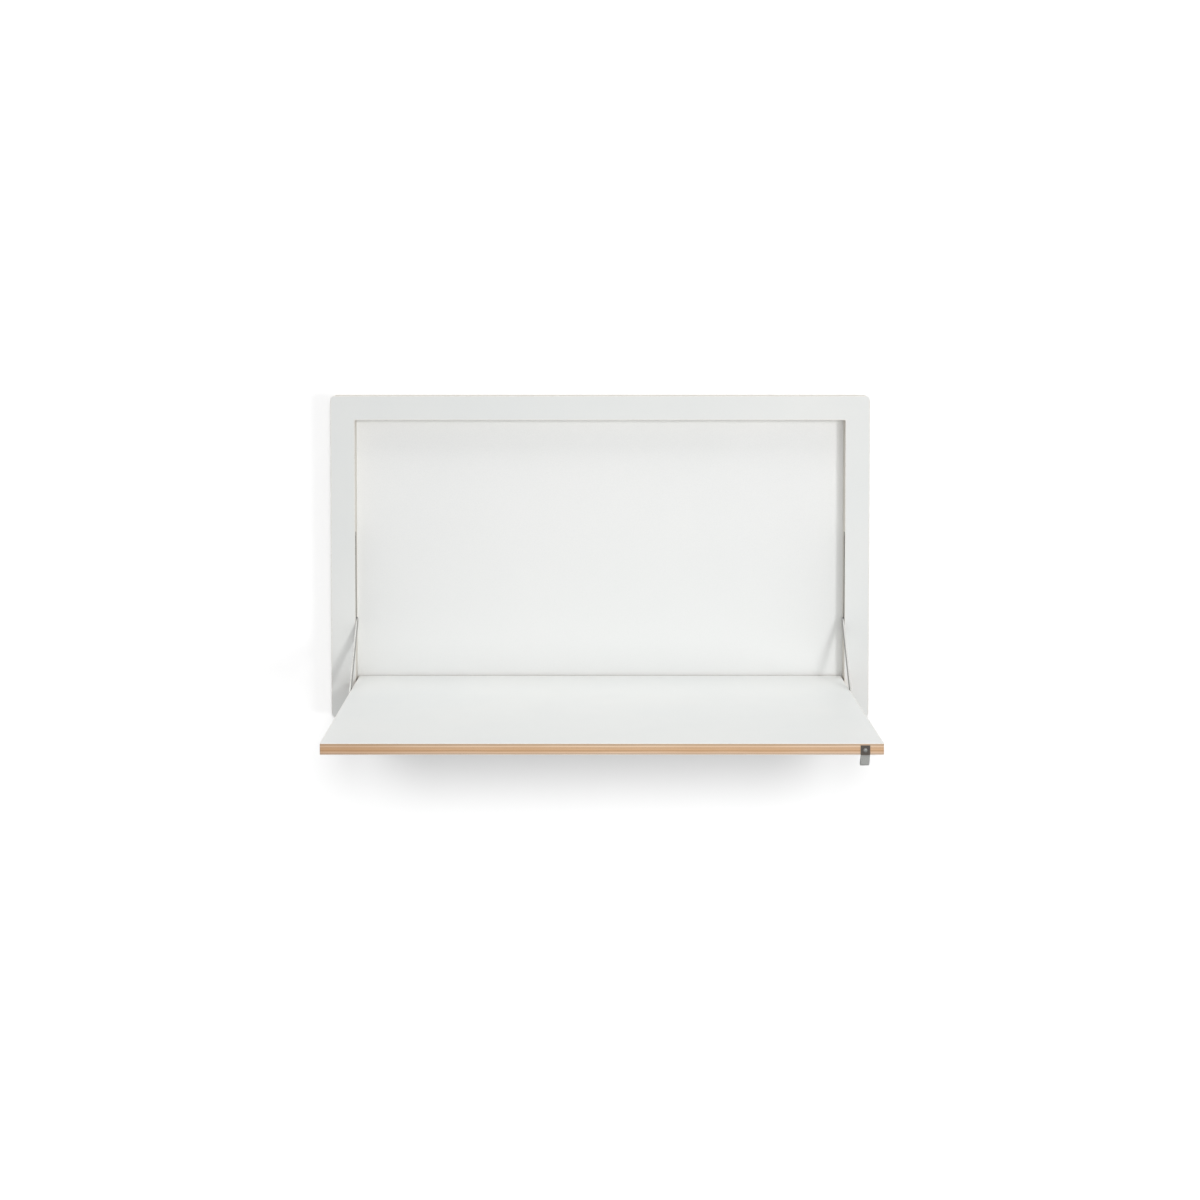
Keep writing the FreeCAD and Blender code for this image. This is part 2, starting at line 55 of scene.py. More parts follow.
class Tree:
    """A material whose nodes are made by short calls. Coordinates are the model's own, in metres."""

    def __init__(self, name):
        self.material = bpy.data.materials.new(name)
        self.material.use_nodes = True
        self.nodes = self.material.node_tree.nodes
        self.links = self.material.node_tree.links
        self.nodes.clear()
        self.output = self.make("ShaderNodeOutputMaterial")
        self.shader = self.make("ShaderNodeBsdfPrincipled")
        self.links.new(self.shader.outputs[0], self.output.inputs[0])
        self.place = self.make("ShaderNodeTexCoord").outputs["Object"]
        self.parts = None
        self.facing = None

    def make(self, kind, **settings):
        node = self.nodes.new(kind)
        for key, value in settings.items():
            setattr(node, key, value)
        return node

    def replace_shader(self, shader):
        """Let another shader node give the surface."""
        self.nodes.remove(self.shader)
        self.shader = shader
        self.links.new(shader.outputs[0], self.output.inputs[0])

    def put(self, socket, value):
        if isinstance(value, bpy.types.NodeSocket):
            self.links.new(value, socket)
        else:
            socket.default_value = value

    def set(self, **values):
        for key, value in values.items():
            self.put(self.shader.inputs[key.replace("_", " ")], value)

    def math(self, operation, *values):
        node = self.make("ShaderNodeMath", operation=operation)
        for socket, value in zip(node.inputs, values):
            self.put(socket, value)
        return node.outputs[0]

    def axis(self, i):
        if self.parts is None:
            node = self.make("ShaderNodeSeparateXYZ")
            self.links.new(self.place, node.inputs[0])
            self.parts = node.outputs
        return self.parts[i]

    def normal(self, i):
        """How far the surface faces along axis i, from 0 to 1, in the model's own frame."""
        if self.facing is None:
            turn = self.make("ShaderNodeVectorTransform", vector_type="NORMAL",
                             convert_from="WORLD", convert_to="OBJECT")
            self.links.new(self.make("ShaderNodeNewGeometry").outputs["True Normal"], turn.inputs[0])
            node = self.make("ShaderNodeSeparateXYZ")
            self.links.new(turn.outputs[0], node.inputs[0])
            self.facing = node.outputs
        return self.math("ABSOLUTE", self.facing[i])

    def stretched(self, x, y, z, vector=None):
        node = self.make("ShaderNodeVectorMath", operation="MULTIPLY")
        self.links.new(vector or self.place, node.inputs[0])
        node.inputs[1].default_value = (x, y, z)
        return node.outputs[0]

    def turned(self, angle):
        """Coordinates turned about X, so that Y runs along a bar that leans by angle."""
        node = self.make("ShaderNodeMapping")
        self.links.new(self.place, node.inputs["Vector"])
        node.inputs["Rotation"].default_value = (angle, 0, 0)
        return node.outputs[0]

    def noise(self, vector, scale=1.0, detail=2.0, rough=0.5, distortion=0.0):
        node = self.make("ShaderNodeTexNoise")
        self.links.new(vector, node.inputs["Vector"])
        node.inputs["Scale"].default_value = scale
        node.inputs["Detail"].default_value = detail
        node.inputs["Roughness"].default_value = rough
        node.inputs["Distortion"].default_value = distortion
        return node.outputs["Fac"]

    def cells(self, vector, scale, feature="F1"):
        node = self.make("ShaderNodeTexVoronoi", feature=feature)
        self.links.new(vector, node.inputs["Vector"])
        node.inputs["Scale"].default_value = scale
        return node.outputs["Distance"]

    def spread(self, value, low, high, to_low=0.0, to_high=1.0):
        node = self.make("ShaderNodeMapRange", interpolation_type="SMOOTHSTEP")
        self.put(node.inputs["Value"], value)
        for key, number in (("From Min", low), ("From Max", high), ("To Min", to_low), ("To Max", to_high)):
            node.inputs[key].default_value = number
        return node.outputs["Result"]

    def ramp(self, value, stops, interpolation="LINEAR"):
        node = self.make("ShaderNodeValToRGB")
        node.color_ramp.interpolation = interpolation
        ends = node.color_ramp.elements
        while len(ends) < len(stops):
            ends.new(0.5)
        for element, (place, colour) in zip(ends, stops):
            element.position = place
            element.color = colour
        self.links.new(value, node.inputs[0])
        return node.outputs[0]

    def mix(self, share, a, b, blend="MIX"):
        node = self.make("ShaderNodeMix", data_type="RGBA", blend_type=blend)
        share_socket, first_colour, second_colour, mixed_colour = 0, 6, 7, 2
        self.put(node.inputs[share_socket], share)
        self.put(node.inputs[first_colour], a)
        self.put(node.inputs[second_colour], b)
        return node.outputs[mixed_colour]

    def bump(self, height, strength, distance, under=None):
        node = self.make("ShaderNodeBump")
        node.inputs["Strength"].default_value = strength
        node.inputs["Distance"].default_value = distance
        self.links.new(height, node.inputs["Height"])
        if under is not None:
            self.links.new(under, node.inputs["Normal"])
        return node.outputs["Normal"]

    def give(self, *names):
        for name in names:
            slots = nodes[name].data.materials
            slots.clear()
            slots.append(self.material)


MM = 0.001
X, Y, Z = range(3)
MEMBER = 36 * MM
STAY_LEAN = math.radians(43.069)
RIB_PITCH = 0.9 * MM
WARP_PITCH = 0.6 * MM


def rim_distance(t, a, b, low, high):
    """Distance to the nearest side of a rectangle that spans two axes, negative outside it."""
    gaps = []
    for i in (a, b):
        gaps.append(t.math("SUBTRACT", t.axis(i), low[i]))
        gaps.append(t.math("SUBTRACT", high[i], t.axis(i)))
    near = t.math("MINIMUM", gaps[0], gaps[1])
    return t.math("MINIMUM", near, t.math("MINIMUM", gaps[2], gaps[3]))


def laminate(name, sheet_axis, wear_gap):
    """Matt white high-pressure laminate: pebbled skin, faint handling marks, cream cut sides, a painted cream
    highlight along its rims, rubbed edges.
    """
    t = Tree(name)
    cloud = t.noise(t.place, 5.0, 3.0, 0.55)
    speck = t.noise(t.place, 1900.0, 2.0, 0.6)
    tone = t.ramp(cloud, [(0.32, linear(227, 229, 228)), (0.68, linear(231, 232, 230))])
    tone = t.mix(t.spread(speck, 0.35, 0.75, 0.0, 0.25), tone, linear(220, 222, 221))
    gap = wear_gap(t)
    rubbed = t.noise(t.place, 260.0, 4.0, 0.7)
    reach = t.math("MULTIPLY", rubbed, 2.2 * MM)
    wear = t.math("LESS_THAN", gap, reach)
    wear = t.math("MULTIPLY", wear, t.spread(rubbed, 0.42, 0.62, 0.0, 0.22))
    # Painted highlight: a cream band, lighter than the face, that fades out within about 2.4 mm of every rim
    tone = t.mix(t.spread(gap, 0.4 * MM, 2.4 * MM, 0.35, 0.0), tone, linear(240, 235, 226))
    tone = t.mix(wear, tone, linear(205, 200, 192))
    rim = t.spread(t.normal(sheet_axis), 0.3, 0.6, 1.0, 0.0)
    grain = t.noise(t.place, 120.0, 3.0, 0.6)
    cream = t.ramp(grain, [(0.3, linear(230, 222, 211)), (0.7, linear(243, 237, 228))])
    t.set(Base_Color=t.mix(rim, tone, cream))
    smear = t.noise(t.place, 9.0, 5.0, 0.65, 0.6)
    rough = t.math("ADD", t.spread(smear, 0.3, 0.7, 0.40, 0.50), t.math("MULTIPLY", wear, 0.3))
    t.set(Roughness=rough, Specular_IOR_Level=0.3)
    pebble = t.cells(t.place, 2600.0, "SMOOTH_F1")
    orange = t.noise(t.place, 420.0, 2.0, 0.5)
    t.set(Normal=t.bump(orange, 0.05, 0.2 * MM, t.bump(pebble, 0.10, 0.05 * MM)))
    return t


flap_low, flap_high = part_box("flap_top_laminate")
face_low, face_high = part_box("front_frame_face")
hole_low = Vector((face_low.x + MEMBER, 0, face_low.z + MEMBER))
hole_high = Vector((face_high.x - MEMBER, 0, face_high.z - MEMBER))


def flap_gap(t):
    """Distance to the flap's rim."""
    return rim_distance(t, X, Y, flap_low, flap_high)


def face_gap(t):
    """Distance to the nearer of the frame's outer rim and the rim of its opening."""
    outer = rim_distance(t, X, Z, face_low, face_high)
    inner = t.math("ABSOLUTE", rim_distance(t, X, Z, hole_low, hole_high))
    return t.math("MINIMUM", outer, inner)


laminate("laminate_flap", Z, flap_gap).give("flap_top_laminate", "flap_under_laminate")
laminate("laminate_frame", Y, face_gap).give("front_frame_face", "front_frame_backing")


def ply_level(t, stack, start, thickness, plies):
    """Height in the stack, counted in plies, with seams that wander a little."""
    slow = t.noise(t.place, 14.0, 2.0)
    wander = t.math("MULTIPLY", t.math("SUBTRACT", slow, 0.5), 0.35)
    level = t.math("DIVIDE", t.math("SUBTRACT", t.axis(stack), start), thickness / plies)
    return t.math("ADD", level, wander)


def grain_sizes(along, lengthwise, crosswise):
    """Noise scales for a grain that runs along one axis."""
    sizes = [crosswise] * 3
    sizes[along] = lengthwise
    return sizes


def birch_veneer(t, along):
    """The flat face of birch: slow figure along the grain, short dark flecks."""
    figure = t.noise(t.stretched(*grain_sizes(along, 5, 46)), 1.0, 4.0, 0.55, 1.4)
    flecks = t.noise(t.stretched(*grain_sizes(along, 55, 2400)), 1.0, 2.0, 0.6)
    veneer = t.ramp(figure, [(0.3, linear(205, 168, 126)), (0.5, linear(221, 188, 148)),
                             (0.72, linear(229, 200, 163))])
    return t.mix(t.spread(flecks, 0.56, 0.74, 0.0, 0.4), veneer, linear(176, 134, 94))


# From the underside up
PLY_TONES = [
    linear(212, 188, 166), linear(238, 206, 174), linear(206, 166, 126), linear(228, 189, 147),
    linear(223, 188, 153), linear(246, 219, 189), linear(200, 170, 140)]


def plywood(name, stack, start, thickness, along):
    """Lacquered birch plywood. The plies are stacked along one axis; every other one runs along the board."""
    t = Tree(name)
    plies = len(PLY_TONES)
    level = ply_level(t, stack, start, thickness, plies)
    number = t.math("FLOOR", level)
    inside = t.math("FRACT", level)
    share = t.math("DIVIDE", t.math("ADD", number, 0.5), float(plies))
    tones = t.ramp(share, [(i / plies, tone) for i, tone in enumerate(PLY_TONES)], "CONSTANT")
    cross = 3 - stack - along
    sizes = [0, 0, 0]
    sizes[along], sizes[cross], sizes[stack] = 18, 700, 1500
    lines = t.noise(t.stretched(*sizes), 1.0, 3.0, 0.6, 0.4)
    sizes[along], sizes[cross] = 700, 18
    lines_across = t.noise(t.stretched(*sizes), 1.0, 3.0, 0.6, 0.4)
    pores = t.cells(t.place, 3200.0)
    ends = t.noise(t.place, 900.0, 3.0, 0.7)
    odd = t.math("MODULO", number, 2.0)
    on_side = t.spread(t.normal(along), 0.4, 0.6)
    end_grain = t.math("ABSOLUTE", t.math("SUBTRACT", odd, on_side))
    end_grain = t.math("SUBTRACT", 1.0, end_grain)
    side = t.math("MULTIPLY", lines, t.math("SUBTRACT", 1.0, on_side))
    side = t.math("ADD", side, t.math("MULTIPLY", lines_across, on_side))
    fibre = t.ramp(side, [(0.25, linear(214, 200, 184)), (0.75, (1, 1, 1, 1))])
    dots = t.math("MULTIPLY", t.spread(pores, 0.05, 0.45), t.spread(ends, 0.3, 0.7, 0.6, 1.0))
    ended = t.ramp(dots, [(0.1, linear(168, 146, 124)), (0.8, linear(246, 240, 232))])
    grain = t.mix(end_grain, fibre, ended)
    edge = t.mix(0.6, tones, grain, "MULTIPLY")
    seam = t.math("MINIMUM", inside, t.math("SUBTRACT", 1.0, inside))
    glue = t.spread(seam, 0.02, 0.09, 0.55, 0.0)
    edge = t.mix(glue, edge, linear(128, 92, 62))
    patch = t.noise(t.place, 7.0, 2.0)
    edge = t.mix(t.spread(patch, 0.35, 0.7, 0.0, 0.28), edge, linear(190, 146, 100))
    # Partly painted shade where the light falls off, partly the wood's own variation, set against the
    # photograph in metres along the flap: darker towards both ends, more at the left one
    painted_end_shade = t.math("ADD", t.spread(t.axis(along), -0.365, -0.09, 0.27, 0.0),
                    t.spread(t.axis(along), 0.20, 0.36, 0.0, 0.12))
    edge = t.mix(painted_end_shade, edge, linear(150, 104, 64))
    flat = t.spread(t.normal(stack), 0.4, 0.6)
    t.set(Base_Color=t.mix(flat, edge, birch_veneer(t, along)))
    t.set(Roughness=t.spread(t.noise(t.place, 90.0, 3.0), 0.3, 0.7, 0.34, 0.5))
    t.set(Coat_Weight=0.25, Coat_Roughness=0.3)
    relief = t.math("SUBTRACT", t.math("MULTIPLY", dots, end_grain), glue)
    relief = t.math("ADD", relief, t.math("MULTIPLY", side, 0.4))
    t.set(Normal=t.bump(relief, 0.25, 0.08 * MM))
    return t


core_low, core_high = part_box("flap_core")
plywood("birch_flap", Z, core_low.z, core_high.z - core_low.z, X).give("flap_core")


def painted_edges(name, stack, start, thickness, plies, along, bare):
    """Plywood whose edges are painted white, so that the plies show faintly. Its flat faces may be bare."""
    t = Tree(name)
    cloud = t.noise(t.place, 6.0, 3.0, 0.55)
    tone = t.ramp(cloud, [(0.3, linear(214, 210, 203)), (0.7, linear(222, 219, 212))])
    level = ply_level(t, stack, start, thickness, plies)
    inside = t.math("FRACT", level)
    seam = t.math("MINIMUM", inside, t.math("SUBTRACT", 1.0, inside))
    line = t.spread(seam, 0.02, 0.16, 1.0, 0.0)
    odd = t.math("MODULO", t.math("FLOOR", level), 2.0)
    tone = t.mix(t.math("MULTIPLY", line, 0.30), tone, linear(198, 190, 178))
    tone = t.mix(t.math("MULTIPLY", odd, 0.22), tone, linear(214, 208, 198))
    fibres = t.noise(t.stretched(*grain_sizes(along, 14, 220)), 1.0, 4.0, 0.65, 0.5)
    tone = t.mix(t.spread(fibres, 0.45, 0.75, 0.0, 0.3), tone, linear(208, 203, 194))
    if bare:
        tone = t.mix(t.spread(t.normal(stack), 0.4, 0.6), tone, birch_veneer(t, along))
    t.set(Base_Color=tone, Roughness=t.spread(fibres, 0.3, 0.7, 0.60, 0.74))
    t.set(Specular_IOR_Level=0.15)
    relief = t.math("SUBTRACT", t.math("MULTIPLY", fibres, 0.5), line)
    t.set(Normal=t.bump(relief, 0.2, 0.06 * MM))
    return t


FRAME_PLIES = 9
STRIP_PLIES = 8
ring_low, ring_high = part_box("front_frame_core")
ring = (Y, ring_low.y, ring_high.y - ring_low.y, FRAME_PLIES)
painted_edges("painted_frame", *ring, X, False).give("front_frame_core")
strip_low, strip_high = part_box("rear_top_strip")
rear = (Y, strip_low.y, strip_high.y - strip_low.y, STRIP_PLIES)
painted_edges("painted_rails", *rear, X, True).give("rear_top_strip", "rear_bottom_strip")
painted_edges("painted_stiles", *rear, Z, True).give("rear_left_strip", "rear_right_strip")


def white_board():
    """Painted thin board: roller stipple in front, fibres and a screen's print in the thin coat behind."""
    t = Tree("painted_board")
    cloud = t.noise(t.place, 3.5, 3.0, 0.55)
    tone = t.ramp(cloud, [(0.3, linear(240, 241, 240)), (0.7, linear(243, 243, 242))])
    # Painted shade, set against the photograph: a little greyer towards the bottom
    tone = t.mix(t.spread(t.axis(Z), -0.33, 0.08, 0.68, 0.0), tone, linear(225, 226, 225))
    stipple = t.noise(t.place, 750.0, 3.0, 0.55)
    tone = t.mix(t.spread(stipple, 0.35, 0.75, 0.0, 0.2), tone, linear(219, 221, 220))
    fibres = t.noise(t.stretched(240, 240, 900), 1.0, 4.0, 0.7, 0.8)
    back = t.ramp(fibres, [(0.3, linear(204, 199, 190)), (0.7, linear(222, 219, 212))])
    behind = t.spread(t.axis(Y), -1.0 * MM, -0.4 * MM)
    t.set(Base_Color=t.mix(behind, tone, back))
    smear = t.noise(t.place, 11.0, 4.0, 0.6)
    t.set(Roughness=t.spread(smear, 0.3, 0.7, 0.44, 0.54), Specular_IOR_Level=0.3)
    screen_pitch = 1.6 * MM
    wires = [t.math("SINE", t.math("MULTIPLY", t.axis(i), 2 * math.pi / screen_pitch)) for i in (X, Z)]
    screen = t.math("MULTIPLY", t.math("ADD", *wires), behind)
    height = t.math("ADD", t.math("MULTIPLY", screen, 0.25), fibres)
    t.set(Normal=t.bump(height, 0.12, 0.08 * MM, t.bump(stipple, 0.12, 0.06 * MM)))
    return t


white_board().give("back_panel")


def plated(name, brushed, dark=0):
    """Satin nickel: brush lines, soft smudges, small scratches. Every tone is dark levels darker, as painted
    shade that tones down bright reflections.
    """
    t = Tree(name)

    def nickel(r, g, b):
        return linear(r - dark, g - dark, b - dark)

    lines = t.noise(brushed(t), 1.0, 4.0, 0.65)
    smudge = t.noise(t.place, 70.0, 4.0, 0.6)
    tone = t.ramp(lines, [(0.3, nickel(152, 152, 150)), (0.7, nickel(176, 176, 173))])
    tone = t.mix(t.spread(smudge, 0.5, 0.75, 0.0, 0.35), tone, nickel(142, 141, 137))
    scratch = t.cells(t.stretched(500, 90, 500), 1.0, "DISTANCE_TO_EDGE")
    tone = t.mix(t.spread(scratch, 0.0, 0.02, 0.3, 0.0), tone, nickel(112, 111, 107))
    t.set(Base_Color=tone, Metallic=1.0, Anisotropic=0.35)
    t.set(Roughness=t.math("ADD", t.spread(lines, 0.3, 0.7, 0.38, 0.48), t.math("MULTIPLY", smudge, 0.12)))
    t.set(Normal=t.bump(lines, 0.18, 0.03 * MM))
    return t


plated("nickel_stay", lambda t: t.stretched(2600, 25, 2600, t.turned(STAY_LEAN - math.pi / 2))).give(
    "left_stay_bar", "right_stay_bar")
# The hangers, staples and rear screws are darker copies of the same nickel: painted shade against their
# bright reflections
plated("nickel_hanger", lambda t: t.stretched(2200, 2200, 40), 38).give("hanger_plates")
plated("nickel_rear", lambda t: t.stretched(900, 900, 900), 44).give("panel_staples", "hanger_screws")
plated("nickel_small", lambda t: t.stretched(900, 900, 900)).give(
    "pivot_bolts", "stay_pivot_screws", "stay_washers", "left_stay_rivet", "right_stay_rivet",
    "frame_magnets", "flap_magnets")
# A darker copy of the same nickel: painted shade against the tab screw's bright reflection
plated("nickel_tab", lambda t: t.stretched(1400, 1400, 1400), 40).give("tab_screw")


def anodised():
    """Black anodised rail: drawing lines along its length, grey where the shoe has rubbed."""
    t = Tree("black_anodised")
    lines = t.noise(t.stretched(3000, 3000, 12), 1.0, 3.0, 0.6)
    tone = t.ramp(lines, [(0.3, linear(44, 44, 45)), (0.7, linear(62, 62, 63))])
    rub = t.noise(t.stretched(500, 500, 30), 1.0, 4.0, 0.65)
    tone = t.mix(t.spread(rub, 0.58, 0.75, 0.0, 0.5), tone, linear(104, 104, 105))
    t.set(Base_Color=tone, Metallic=0.6, Roughness=t.spread(lines, 0.3, 0.7, 0.36, 0.48))
    t.set(Normal=t.bump(lines, 0.2, 0.03 * MM))
    return t


anodised().give("left_guide_rail", "right_guide_rail")


def nylon():
    """Moulded grey nylon: fine spark texture, faint flow marks."""
    t = Tree("moulded_nylon")
    spark = t.noise(t.place, 2600.0, 3.0, 0.6)
    flow = t.noise(t.stretched(160, 160, 60), 1.0, 3.0, 0.5, 1.2)
    tone = t.ramp(flow, [(0.3, linear(104, 104, 103)), (0.7, linear(118, 118, 117))])
    tone = t.mix(t.spread(spark, 0.4, 0.7, 0.0, 0.25), tone, linear(90, 90, 89))
    t.set(Base_Color=tone, Roughness=t.spread(flow, 0.3, 0.7, 0.42, 0.55))
    t.set(Subsurface_Weight=0.05)
    t.set(Normal=t.bump(spark, 0.2, 0.04 * MM))
    return t


nylon().give("rail_end_plugs", "flap_bushes", "left_slide_shoe", "right_slide_shoe")


def turned_brass():
    """Turned brass: tool rings along the insert, slightly tarnished."""
    t = Tree("turned_brass")
    rings = t.noise(t.stretched(3500, 60, 60), 1.0, 2.0, 0.5)
    tarnish = t.noise(t.place, 240.0, 4.0, 0.6)
    tone = t.ramp(rings, [(0.3, linear(188, 150, 84)), (0.7, linear(217, 182, 112))])
    tone = t.mix(t.spread(tarnish, 0.5, 0.72, 0.0, 0.5), tone, linear(142, 106, 60))
    t.set(Base_Color=tone, Metallic=1.0, Roughness=t.spread(tarnish, 0.3, 0.7, 0.25, 0.42))
    t.set(Normal=t.bump(rings, 0.2, 0.03 * MM))
    return t


turned_brass().give("stay_inserts")


def dark_cloth():
    """Dark woven patch: over-and-under threads, rubbed paler along its rim."""
    t = Tree("dark_weave")
    thread = 0.42 * MM
    across = t.math("MULTIPLY", t.axis(X), math.pi / thread)
    down = t.math("MULTIPLY", t.axis(Z), math.pi / thread)
    weave = t.math("MULTIPLY", t.math("SINE", across), t.math("SINE", down))
    fuzz = t.noise(t.place, 2800.0, 4.0, 0.7)
    height = t.math("ADD", weave, t.math("MULTIPLY", fuzz, 0.6))
    tone = t.ramp(t.spread(height, -0.9, 1.3), [(0.0, linear(52, 47, 43)), (1.0, linear(98, 90, 83))])
    low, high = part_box("tab_patch")
    gap = rim_distance(t, X, Z, low, high)
    rubbed = t.math("MULTIPLY", t.spread(gap, 0.1 * MM, 0.9 * MM, 0.5, 0.0), fuzz)
    t.set(Base_Color=t.mix(rubbed, tone, linear(132, 124, 115)))
    t.set(Roughness=t.spread(fuzz, 0.3, 0.7, 0.7, 0.9), Sheen_Weight=0.25, Sheen_Roughness=0.5)
    t.set(Normal=t.bump(height, 0.5, 0.12 * MM))
    return t


dark_cloth().give("tab_patch")


def grey_ribbon():
    """Woven grey tape: weft ribs across it, warp threads along it, fuzz. Read from the piece's own map."""
    t = Tree("woven_tape")
    spot = t.make("ShaderNodeUVMap", uv_map="tape").outputs[0]
    parts = t.make("ShaderNodeSeparateXYZ")
    t.links.new(spot, parts.inputs[0])
    rib = t.math("SINE", t.math("MULTIPLY", parts.outputs[Y], 2 * math.pi / RIB_PITCH))
    warp = t.math("SINE", t.math("MULTIPLY", parts.outputs[X], 2 * math.pi / WARP_PITCH))
    fuzz = t.noise(t.place, 2600.0, 4.0, 0.7)
    crossing = t.math("MULTIPLY", t.math("MULTIPLY", warp, rib), 0.5)
    height = t.math("ADD", t.math("MULTIPLY", rib, 0.7), crossing)
    height = t.math("ADD", height, t.math("MULTIPLY", fuzz, 0.7))
    tone = t.ramp(t.spread(height, -0.9, 1.6), [(0.0, linear(118, 119, 117)), (1.0, linear(190, 191, 188))])
    cloud = t.noise(t.place, 300.0, 3.0, 0.6)
    tone = t.mix(t.spread(cloud, 0.45, 0.7, 0.0, 0.4), tone, linear(140, 141, 139))
    t.set(Base_Color=tone, Roughness=t.spread(fuzz, 0.3, 0.7, 0.65, 0.85))
    t.set(Sheen_Weight=0.3, Sheen_Roughness=0.45)
    t.set(Normal=t.bump(height, 0.6, 0.15 * MM))
    return t


def tape_loop():
    """The pull tab's tape: down behind the patch, round in a soft loop a little askew, and up again."""
    thick = 0.62 * MM
    slot_depth = 1.6 * MM
    loop_radius = 2.5 * MM
    belly = 0.3 * MM
    shoulder_share = 0.8
    tip_lean = -1.2 * MM
    tip_tilt = 0.15 * MM
    tip_narrowing = 0.09
    curl_height = 0.22 * MM
    wave_height = 0.07 * MM
    side_clearance = 0.2 * MM
    scallop = 0.012
    scalloped_from = 0.45
    bead_width = 0.06
    turn_steps = 12
    across = 17

    low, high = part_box("tab_ribbon")
    width = high.x - low.x
    centre_x = (low.x + high.x) / 2
    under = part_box("flap_under_laminate")[0].z
    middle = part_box("flap_core")[0].y + slot_depth / 2
    front_layer = middle - slot_depth / 4
    bend = loop_radius - thick / 2
    turn_z = low.z + loop_radius
    # The front layer's line as (y, z), from its upper end to the loop
    knots = [(front_layer, high.z), (front_layer, under + 4 * MM), (front_layer, under - 0.5 * MM),
             (front_layer - belly, under - 3.0 * MM),
             (middle - bend * shoulder_share, turn_z + 2.4 * MM)]
    turn = []
    for i in range(turn_steps + 1):
        a = math.pi + math.pi * i / turn_steps
        turn.append((middle + bend * math.cos(a), turn_z + bend * math.sin(a)))
    back = [(2 * middle - y, z) for y, z in reversed(knots)]
    rough = knots + turn + back

    curve = bpy.data.curves.new("tape_line", "CURVE")
    curve.dimensions = "3D"
    line = curve.splines.new("NURBS")
    line.points.add(len(rough) - 1)
    for point, (y, z) in zip(line.points, rough):
        point.co = (0, y, z, 1)
    line.order_u = 3
    line.use_endpoint_u = True
    line.resolution_u = 6
    holder = bpy.data.objects.new("tape_line", curve)
    sampled = bpy.data.meshes.new_from_object(holder)
    path = [v.co.copy() for v in sampled.vertices]
    bpy.data.objects.remove(holder)
    bpy.data.meshes.remove(sampled)
    lengths = [0.0]
    for a, b in zip(path, path[1:]):
        lengths.append(lengths[-1] + (b - a).length)

    verts, faces, uvs = [], [], []
    for i, p in enumerate(path):
        before, after = path[max(i - 1, 0)], path[min(i + 1, len(path) - 1)]
        run = (after - before).normalized()
        out = Vector((0, -run.z, run.y))
        # From 0 at the flap's underside to 1 at the loop's tip
        below = max(0.0, (under - p.z) / (under - low.z))
        lean = tip_lean * below ** 1.3
        narrowed = (width - side_clearance) * (1 - tip_narrowing * below ** 6)
        layer_side = 1 if p.y < middle else -1
        for j in range(across):
            u = j / (across - 1) - 0.5
            trim = 1 - scallop * math.cos(2 * math.pi * lengths[i] / RIB_PITCH) * (abs(u) > scalloped_from)
            curl = curl_height * below * (4 * u * u - 0.4) * layer_side
            wave = wave_height * below * math.sin(9 * u + lengths[i] * 260)
            bead = 0.5 + 0.5 * min(1.0, (0.5 - abs(u)) / bead_width)
            x = centre_x + u * narrowed * trim + lean
            base = Vector((x, p.y, p.z + tip_tilt * below * u)) + out * (curl + wave)
            for face_side in (-1, 1):
                verts.append(base + out * face_side * thick / 2 * bead)
                uvs.append((u * width, lengths[i]))
    rows = len(path)

    def at(i, j, k):
        return (i * across + j) * 2 + k

    last = across - 1
    for i in range(rows - 1):
        for j in range(last):
            faces.append((at(i, j, 0), at(i, j + 1, 0), at(i + 1, j + 1, 0), at(i + 1, j, 0)))
            faces.append((at(i, j, 1), at(i + 1, j, 1), at(i + 1, j + 1, 1), at(i, j + 1, 1)))
        faces.append((at(i, 0, 0), at(i + 1, 0, 0), at(i + 1, 0, 1), at(i, 0, 1)))
        faces.append((at(i, last, 0), at(i, last, 1), at(i + 1, last, 1), at(i + 1, last, 0)))
    for i, flip in ((0, False), (rows - 1, True)):
        for j in range(last):
            quad = (at(i, j, 0), at(i, j, 1), at(i, j + 1, 1), at(i, j + 1, 0))
            faces.append(tuple(reversed(quad)) if flip else quad)

    mesh = bpy.data.meshes.new("tab_tape")
    mesh.from_pydata(verts, [], faces)
    layer = mesh.uv_layers.new(name="tape")
    for corner in mesh.loops:
        layer.data[corner.index].uv = uvs[corner.vertex_index]
    mesh.shade_smooth()
    mesh.materials.append(grey_ribbon().material)
    piece = bpy.data.objects.new("tab_tape", mesh)
    scene.collection.objects.link(piece)
    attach(piece, "flap")
    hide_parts("tab_ribbon")


tape_loop()

# Camera at the photograph's place: a little left of the middle and well above the flap.
camera = bpy.data.cameras.new("camera")
camera.sensor_width = 36.0
camera.lens = 54.27
camera.shift_x = 0.0093
camera.shift_y = -0.2087
viewer = bpy.data.objects.new("camera", camera)
viewer.location = (-0.0167, -2.7028, 0.2424)
viewer.rotation_euler = (math.radians(88), 0, 0)
scene.collection.objects.link(viewer)
scene.camera = viewer

# Light linking: the sweep has lamps of its own, and one lamp lights the back alone.
backdrop_only = bpy.data.collections.new("backdrop_only")
all_but_backdrop = bpy.data.collections.new("all_but_backdrop")
back_only = bpy.data.collections.new("back_only")
for name in ("rear_top_strip", "rear_bottom_strip", "rear_left_strip", "rear_right_strip", "back_panel",
             "panel_staples", "hanger_plates", "hanger_screws"):
    back_only.objects.link(nodes[name])


def lamp(name, place, target, width, height, level, lights=all_but_backdrop):
    """Soft box. Level is the share of plain light that it gives a surface square to it at the target."""
    light = bpy.data.lights.new(name, "AREA")
    light.shape = "RECTANGLE"
    light.size, light.size_y = width, height
    away = Vector(target) - Vector(place)
    light.energy = level * math.pi ** 2 * away.length_squared
    box = bpy.data.objects.new(name, light)
    box.location = place
    box.rotation_euler = away.to_track_quat("-Z", "Y").to_euler()
    box.visible_camera = False
    scene.collection.objects.link(box)
    box.light_linking.receiver_collection = lights


